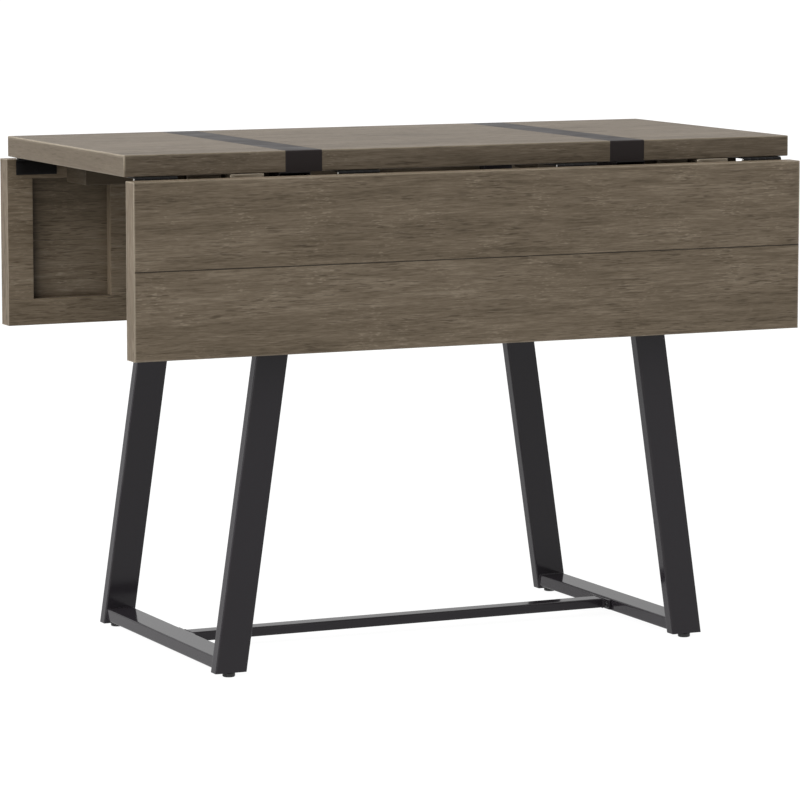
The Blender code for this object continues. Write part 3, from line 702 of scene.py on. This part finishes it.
def oak(name, along, end_along, painted_shading=(1.0, 1.0, 1.0)):
    """Stained oak veneer with the grain along one axis, and along another, calmer, where a face looks down
    the first. Its colour carries painted light and shade by the way a face looks: the squares of the normal's
    parts weigh a factor for each axis, and they always add up to one."""
    material, tree, shader = new_finish(name, Specular_IOR_Level=0.20)
    spot = put(tree, "TexCoord").outputs
    axes = put(tree, "SeparateXYZ", {"Vector": spot["Object"]}).outputs
    facing = put(tree, "SeparateXYZ", {"Vector": spot["Normal"]}).outputs
    places = []
    for lead in (along, end_along):
        order = [lead] + [axis for axis in "XYZ" if axis != lead]
        lanes = {axis: axes[lane] for axis, lane in zip("XYZ", order)}
        places.append(put(tree, "CombineXYZ", lanes).outputs[0])
    at_end = maths(tree, "GREATER_THAN", maths(tree, "ABSOLUTE", facing[along]), end_facing)
    place = put(tree, "Mix", {0: at_end, 4: places[0], 5: places[1]}, data_type="VECTOR").outputs[1]
    number = put(tree, "Attribute", attribute_name="board").outputs["Fac"]
    figure = put(tree, "Group", {"Place": place, "Board": number}, node_tree=oak_figure).outputs
    calm = maths(tree, "MULTIPLY", at_end, end_calm)
    tone = put(tree, "Mix", {0: calm, 2: figure["Tone"], 3: middle_tone}, data_type="FLOAT").outputs[0]
    stain = ramp(tree, tone, *oak_stains)
    depth = maths(tree, "MULTIPLY_ADD", calm, -pore_calming, pore_depth)
    stain = blend(tree, maths(tree, "MULTIPLY", figure["Pores"], depth), stain, (*oak_dark, 1))
    # Painted light and shade: the colour is scaled by a factor for each way a face looks.
    squares = put(tree, "VectorMath", {0: spot["Normal"], 1: spot["Normal"]}, operation="MULTIPLY").outputs[0]
    share = put(tree, "VectorMath", {0: squares, 1: painted_shading}, operation="DOT_PRODUCT").outputs["Value"]
    stain = put(tree, "VectorMath", {0: stain, "Scale": share}, operation="SCALE").outputs[0]
    # Eased edges paled by their marks, partly as wear and partly as a painted highlight; grooves darkened.
    edge = put(tree, "Attribute", attribute_name="edge").outputs["Fac"]
    rub = maths(tree, "MULTIPLY_ADD", figure["Tone"], edge_paling_swing, edge_paling_least)
    rub = maths(tree, "MULTIPLY", between(tree, edge, 0.0, 1.0), rub)
    stain = blend(tree, rub, stain, (*edge_wear_and_highlight, 1))
    groove = maths(tree, "MULTIPLY", between(tree, edge, *groove_span), groove_share)
    stain = blend(tree, groove, stain, (*groove_and_shade_dark, 1))
    # Painted shade: the leaf panels are darkened beside the end stiles and under the top rail, by the boards'
    # own marks.
    glaze = put(tree, "Attribute", attribute_name="glaze").outputs["Fac"]
    stain = blend(tree, glaze, stain, (*groove_and_shade_dark, 1))
    tree.links.new(stain, shader.inputs["Base Color"])
    gloss = maths(tree, "MULTIPLY_ADD", figure["Relief"], -oak_gloss_swing, oak_roughness)
    tree.links.new(gloss, shader.inputs["Roughness"])
    bump = put(tree, "Bump", {"Height": figure["Relief"], "Strength": oak_bump_strength,
                              "Distance": oak_bump_depth})
    tree.links.new(bump.outputs["Normal"], shader.inputs["Normal"])
    return material


def oak_piece(name, board_number, grid, marks, **more):
    """A wooden piece from one grid, with the marks of its edges and a number that gives it its own figure."""
    return skin(name, [grid], {"edge": marks, "board": np.full(marks.shape, board_number), **more})


# Painted light and shade: the top's ends, long edges and upper face are darkened by set factors.
top_oak = oak("top_oak_veneer", "X", "Y", painted_shading=(0.75, 0.76, 0.85))
low, high = node_box("top_slab")
channels = []
for side in ("left", "right"):
    strap_low, strap_high = node_box(f"strap_{side}")
    channels.append((strap_low[0] - channel_fit, strap_high[0] + channel_fit, channel_depth))
grid, marks = block_grid(low, high, 0, board_ease, channels, waver=board_waver, worn=top_edge_paling,
                         end_paling=top_end_edge_paling)
top = oak_piece("top_board", 1.0, grid, marks)
dress(top, top_oak, "table", "wood", "top_slab")

# Steel straps
# Two strips of flat steel lie flush in the channels and are bent down over the front and back edges.
# They are blackened and lacquered dull.
strap_thickness = 0.002
strap_bend = 0.0013
strap_bend_steps = 7
strap_rows = 8
strap_corner = 0.0004
strap_colour = (0.0135, 0.0100, 0.0096)
strap_worn = (0.018, 0.015, 0.015)
strap_steel = hard_finish("blackened_strap", strap_colour, strap_worn, roughness=0.45, peel_cells=900.0,
                          peel_depth=0.0001, Specular_IOR_Level=0.16)
for side in ("left", "right"):
    low, high = node_box(f"strap_{side}")
    half = strap_thickness / 2
    bend = np.radians(np.linspace(0, 90, strap_bend_steps))
    side_y, top_z = high[1] - half, high[2] - half
    bend_y, bend_z = side_y - strap_bend, top_z - strap_bend
    rise = [(side_y, low[2]), (side_y, low[2] + shoulder), (side_y, bend_z - shoulder)]
    curve = np.column_stack([bend_y + strap_bend * np.cos(bend), bend_z + strap_bend * np.sin(bend)])
    lie = np.column_stack([np.linspace(bend_y - shoulder, 0, strap_rows), np.full(strap_rows, top_z)])
    path = np.concatenate([rise, curve, lie])
    path = np.concatenate([path, path[-2::-1] * [-1, 1]])
    ahead = np.gradient(path, axis=0)
    ahead /= np.linalg.norm(ahead, axis=1, keepdims=True)
    a, b = rounded_outline((high[0] - low[0]) / 2, half, strap_corner)
    outward = np.stack([ahead[:, 1], -ahead[:, 0]], axis=1)
    grid = np.empty((len(path), a.shape[1], 3))
    grid[..., 0] = (low[0] + high[0]) / 2 + a
    grid[..., 1:] = path[:, None] + b[0][:, None] * outward[:, None]
    strap = skin(f"strap_strip_{side}", [grid], {"edge": corner_marks(len(path))})
    dress(strap, strap_steel, "table", "strap_steel", f"strap_{side}")

# Leaf supports
# Under the top, two pairs of wooden lopers run side by side in trough-shaped guides; one of each pair slides
# out under the front leaf and the other under the back leaf. The guides are screwed up into the top.
loper_ease = 0.0012
loper_waver = 0.2
loper_fit = 0.0005
first_loper_number = 30.0
bed_gap = 0.0003
guide_ease = 0.0008
guide_wall = 0.019
guide_rows = 4
guide_flange_width = 0.0095
guide_flange_thickness = 0.011
guide_screw_step = 0.025
first_guide_number = 20.0
rail_screws = 4
rail_screw_margin = 0.05
screw_radius = 0.0038
screw_first_ring = 0.04
screw_rows = 10
screw_sides = 32
screw_dome = 0.0003
screw_rim = 0.0006
cross_width = 0.0011
cross_reach = 0.0024
cross_depth = 0.0012
cross_soften = 0.0002
cross_slope = 1.3
screw_colour = (0.030, 0.029, 0.028)
screw_worn = (0.10, 0.10, 0.10)
# Painted shade: the lopers, and the guides more, are darkened as if in the shadow under the top.
loper_oak = oak("loper_oak", "Y", "X", painted_shading=(0.85, 0.85, 0.85))
guide_oak = oak("guide_oak", "Y", "X", painted_shading=(0.55, 0.55, 0.55))


def screw_grid(centre, outward):
    """A countersunk screw's head: a low dome that falls off with the square of the radius, with a cross in it
    whose floor rises to nothing at the ends of its arms. The rim runs on into the piece below."""
    around = np.linspace(0, 2 * np.pi, screw_sides, endpoint=False)
    radius = screw_radius * np.linspace(screw_first_ring, 1, screw_rows)[:, None]
    a, b = radius * np.cos(around), radius * np.sin(around)
    arm = np.clip((cross_width / 2 - np.minimum(abs(a), abs(b))) / cross_soften + 0.5, 0, 1)
    recess = cross_depth * arm * np.clip(cross_slope * (1 - radius / cross_reach), 0, 1)
    height = screw_dome * (1 - (radius / screw_radius) ** 2) - recess
    outward = np.array(outward, float)
    first = np.roll(outward, 1)
    second = np.cross(outward, first)
    grid = np.array(centre) + a[..., None] * first + b[..., None] * second + height[..., None] * outward
    return np.concatenate([grid, grid[-1:] - screw_rim * outward])


def ease_edges(piece, width, least_degrees):
    """Rounds the edges of a piece where its faces turn by more than the least angle."""
    easing = piece.modifiers.new("eased_edges", "BEVEL")
    easing.width = width
    easing.segments = 2
    easing.limit_method = "ANGLE"
    easing.angle_limit = math.radians(least_degrees)


screw_zinc = hard_finish("dark_screw", screw_colour, screw_worn, roughness=0.35, peel_cells=3000.0,
                         peel_depth=0.00005, Metallic=0.8)
guide_screws = []
for number, (side, sign) in enumerate((("left", -1), ("right", 1))):
    lopers = [node_box(f"loper_{face}_{side}") for face in ("front", "back")]
    lopers.sort(key=lambda box: -sign * box[0][0])
    channels = []
    for loper_low, loper_high in lopers:
        walls = loper_low[0] - loper_fit, loper_high[0] + loper_fit
        channels.append(walls if sign < 0 else walls[::-1])
    bed = lopers[0][0][2] - bed_gap
    for face, out in (("front", -1), ("back", 1)):
        name = f"loper_guide_{face}_{side}"
        low, high = node_box(name)
        inner, edge = (high[0], low[0]) if sign < 0 else (low[0], high[0])
        wall = edge - sign * guide_flange_width
        flange_z = high[2] - guide_flange_thickness
        section = [(inner, low[2]), (wall, low[2]), (wall, flange_z), (edge, flange_z), (edge, high[2])]
        for far_side, near_side in channels:
            section += [(far_side, high[2]), (far_side, bed), (near_side, bed), (near_side, high[2])]
        section = np.array(section + [(inner, high[2])])
        stations = np.linspace(low[1], high[1], guide_rows)
        grid = np.stack([np.insert(section, 1, where, axis=1) for where in stations])
        seed = np.full(grid.shape[:2], first_guide_number + number)
        guide = skin(f"{name}_trough", [grid], {"board": seed})
        ease_edges(guide, guide_ease, least_degrees=30)
        dress(guide, guide_oak, "table", "wood", name)
        middle_y = (low[1] + high[1]) / 2
        for x, z in ((inner + sign * guide_wall / 2, low[2]), ((wall + edge) / 2, flange_z)):
            for y in (middle_y - guide_screw_step, middle_y + guide_screw_step):
                guide_screws.append(screw_grid((x, y, z), (0, 0, -1)))
        name = f"loper_{face}_{side}"
        grid, marks = block_grid(*node_box(name), 1, loper_ease, waver=loper_waver)
        loper = oak_piece(f"{name}_bar", first_loper_number + 2 * number + (out > 0), grid, marks)
        dress(loper, loper_oak, name, "wood", name)
    low, high = node_box(f"top_rail_{side}")
    for y in np.linspace(low[1] + rail_screw_margin, high[1] - rail_screw_margin, rail_screws):
        guide_screws.append(screw_grid(((low[0] + high[0]) / 2, y, low[2]), (0, 0, -1)))
screws = skin("underside_screws", guide_screws)
dress(screws, screw_zinc, "table", "bolt_steel")

# Drop leaves
# Each leaf has two long veneered boards outside, with a fine groove between them, and a frame behind them
# that leaves a shallow panel at each end and a long one in the middle. Thin edging covers its ends, and the
# panels are darkened with painted shade beside the end stiles and under the top rail.
leaf_ease = 0.0009
leaf_waver = 0.3
# How pale the boards' outer edges are painted, partly as wear and partly as a highlight.
outer_edge_paling = 0.4
inner_share = 0.15
joint_share = 0.4
in_groove = -1.0
tight_ease = 0.00015
frame_ease = 0.0004
joint_overlap = 0.0001
# Painted shade on the panels: its width beside the end stiles and its strength there and under the top rail.
glaze_width = 0.017
stile_glaze = 0.85
rail_glaze = 0.40
edging_thickness = 0.0007
edging_ease = 0.0003
leaf_oak = oak("leaf_oak_veneer", "X", "Z")
# Painted light on the frame members, which are lightened, and painted shade on the edging, slightly darkened.
frame_oak = oak("frame_oak_veneer", "X", "Z", painted_shading=(1.15, 1.15, 1.15))
edging_oak = oak("edging_oak_veneer", "Z", "X", painted_shading=(0.96, 0.96, 0.96))
for first_board, face, out in ((2.0, "front", -1), (6.0, "back", 1)):
    body = f"{face}_leaf"
    left_stile = node_box(f"{body}_end_stile_left")[1][0]
    right_stile = node_box(f"{body}_end_stile_right")[0][0]
    glazed = (left_stile, left_stile + glaze_width, 0), (right_stile - glaze_width, right_stile, 0)
    half_round = 2 * (corner_steps + 2)
    # The outline's two points on the panel side, next to a board's upper edge and to its lower edge
    top_point, bottom_point = (0, -1) if out < 0 else (half_round - 1, half_round)
    for number, kind in enumerate(("upper_board", "lower_board")):
        node = f"{body}_{kind}"
        joint_side = -1 if kind == "upper_board" else 1
        shares = []
        worn = []
        for y_side, z_side in ((1, 1), (-1, 1), (-1, -1), (1, -1)):
            outside = y_side == out
            at_joint = z_side == joint_side
            shares.append((joint_share if at_joint else 1.0) if outside else inner_share)
            worn.append((in_groove if at_joint else outer_edge_paling) if outside else 0.0)
        grid, marks = block_grid(*node_box(node), 0, leaf_ease, glazed, waver=leaf_waver, corners=shares,
                                 worn=worn, end_ease=tight_ease)
        # Painted shade: darkest against each end stile, fading over its width, and along the upper board's
        # top edge.
        gap = np.minimum(grid[:, 0, 0] - left_stile, right_stile - grid[:, 0, 0])
        beside = stile_glaze * np.clip(1 - gap / glaze_width, 0, 1)
        above = rail_glaze if kind == "upper_board" else 0.0
        glaze = np.zeros(marks.shape)
        glaze[:, top_point] = np.maximum(beside, above)
        glaze[:, bottom_point] = beside
        board = oak_piece(f"{node}_veneered", first_board + number, grid, marks, glaze=glaze)
        dress(board, leaf_oak, body, "wood", node)
    for kind, along in (("top_rail", 0), ("bottom_rail", 0), ("end_stile_left", 2), ("end_stile_right", 2),
                        ("mid_stile_left", 2), ("mid_stile_right", 2)):
        node = f"{body}_{kind}"
        low, high = node_box(node)
        if along == 2:
            low[2] -= joint_overlap
            high[2] += joint_overlap
        grid, marks = block_grid(low, high, along, frame_ease, worn=(0, 0, 0, 0), end_paling=0)
        member = oak_piece(f"{node}_member", first_board + 2, grid, marks)
        dress(member, frame_oak, body, "wood", node)
    boxes = np.array([node_box(f"{body}_{kind}") for kind in ("upper_board", "lower_board", "top_rail")])
    low, high = boxes[:, 0].min(axis=0), boxes[:, 1].max(axis=0)
    for side, end, sign in (("left", low[0], -1), ("right", high[0], 1)):
        span = sorted((end, end + sign * edging_thickness))
        grid, marks = block_grid((span[0], *low[1:]), (span[1], *high[1:]), 2, edging_ease)
        edging = oak_piece(f"{body}_edging_{side}", first_board + 3, grid, marks)
        dress(edging, edging_oak, body, "wood")

# Hinges
# Four black butt hinges join each leaf to the top: stamped plates rolled into knuckles round a riveted pin.
# Countersunk screws hold the plates, three in each.
hinges = 4
plate_thickness = 0.002
plate_ease = 0.0002
plate_rows = 6
plate_clear = 0.004
knuckles = 5
knuckle_gap = 0.0003
knuckle_radius = 0.0027
roll_degrees = 250.0
roll_steps = 25
pin_radius = 0.0015
pin_sides = 24
pin_head_radius = 0.0020
pin_head_height = 0.0009
pin_head_seat = 0.0001
pin_dome_angles = np.radians(np.linspace(10, 90, 6))
plate_screws = (-0.023, 0.0105), (0.0, 0.0175), (0.023, 0.0105)
hinge_colour = (0.0050, 0.0046, 0.0044)
hinge_worn = (0.012, 0.011, 0.011)
pin_colour = (0.42, 0.40, 0.37)
pin_worn = (0.5, 0.48, 0.45)
hinge_steel = hard_finish("black_hinge_steel", hinge_colour, hinge_worn, roughness=0.45, peel_cells=2000.0,
                          peel_depth=0.0001, Specular_IOR_Level=0.15)
pin_steel = hard_finish("bright_pin_steel", pin_colour, pin_worn, roughness=0.34, peel_cells=3000.0,
                        peel_depth=0.00004, Metallic=0.7)


def hinge_plate(name, centre, reach, length, hanging, half_turn):
    """One hinge plate: a strip that lies flat beside the pin and then rolls round it on a circle, kept only
    where its own knuckles are past the plate's edge. Knuckles and gaps alternate along the pin, and a hanging
    plate has the second knuckle and the fourth. It is the level plate mirrored across the diagonal, and a
    half turn about the upright swaps front and back."""
    flat = np.concatenate([np.linspace(reach, plate_clear, plate_rows), [plate_clear / 2, 0]])
    roll = np.radians(np.linspace(90, 90 + roll_degrees, roll_steps))[1:]
    y = np.concatenate([flat, knuckle_radius * np.cos(roll)])
    z = np.concatenate([np.full(len(flat), knuckle_radius), knuckle_radius * np.sin(roll)])
    edges = np.linspace(-length / 2, length / 2, knuckles + 1)
    inner = edges[1:-1]
    x = np.sort(np.concatenate([edges[[0, -1]], inner - knuckle_gap / 2, inner + knuckle_gap / 2]))
    if hanging:
        y, z = -z, -y
    if half_turn:
        y = -y
    grid = np.array(centre) + np.stack(np.broadcast_arrays(x, y[:, None], z[:, None]), axis=-1)
    rows, count = grid.shape[:2]
    index = np.arange(rows * count).reshape(rows, count)
    quads = np.stack([index[:-1, :-1], index[:-1, 1:], index[1:, 1:], index[1:, :-1]], axis=-1)
    own = np.zeros(count - 1, bool)
    own[2 * int(hanging)::4] = True
    keep = np.ones((rows - 1, count - 1), bool)
    keep[plate_rows - 1:] = own
    used = np.unique(quads[keep])
    renumber = np.zeros(rows * count, int)
    renumber[used] = np.arange(len(used))
    plate = place_mesh(name, grid.reshape(-1, 3)[used], renumber[quads[keep]].tolist())
    thick = plate.modifiers.new("plate_thickness", "SOLIDIFY")
    thick.thickness = plate_thickness
    thick.offset = 0
    thick.use_even_offset = True
    ease_edges(plate, plate_ease, least_degrees=50)
    return plate


screw_sets = {"table": [], "front_leaf": [], "back_leaf": []}
for face, out in (("front", -1), ("back", 1)):
    joint = next(j for j in frame["joints"] if j["name"] == f"{face}_leaf_hinge")
    pin_y, pin_z = joint["pos_m"][1:]
    for number in range(1, hinges + 1):
        for kind, body in (("fixed", "table"), ("moving", f"{face}_leaf")):
            node = f"{face}_hinge_{kind}_{number}"
            low, high = node_box(node)
            length = high[0] - low[0]
            centre = np.array([(low[0] + high[0]) / 2, pin_y, pin_z])
            hanging = kind == "moving"
            reach = pin_z - low[2] if hanging else max(abs(high[1] - pin_y), abs(low[1] - pin_y))
            plate = hinge_plate(f"{node}_plate", centre, reach, length, hanging, out > 0)
            dress(plate, hinge_steel, body, "hinge_steel", node)
            level = knuckle_radius - plate_thickness / 2
            for x, depth in plate_screws:
                if hanging:
                    spot = centre + [x, out * level, -depth]
                    facing = (0, -out, 0)
                else:
                    spot = centre + [x, -out * depth, level]
                    facing = (0, 0, -1)
                screw_sets[body].append(screw_grid(spot, facing))
            if not hanging:
                half = length / 2
                rise = pin_head_height * np.cos(pin_dome_angles)
                dome = np.column_stack([pin_head_radius * np.sin(pin_dome_angles), half + rise])
                near = np.concatenate([dome, [(pin_radius, half - pin_head_seat)]])
                profile = np.concatenate([near, near[::-1] * [1, -1]])
                pin = skin(f"{face}_hinge_pin_{number}", [turned_grid(centre, 0, profile, pin_sides)])
                dress(pin, pin_steel, "table", "hinge_steel")
for body, grids in screw_sets.items():
    screws = skin(f"{body}_hinge_screws", grids)
    dress(screws, hinge_steel, body, "hinge_steel")

boxes = {"cad": cad_box, "visual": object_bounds()}
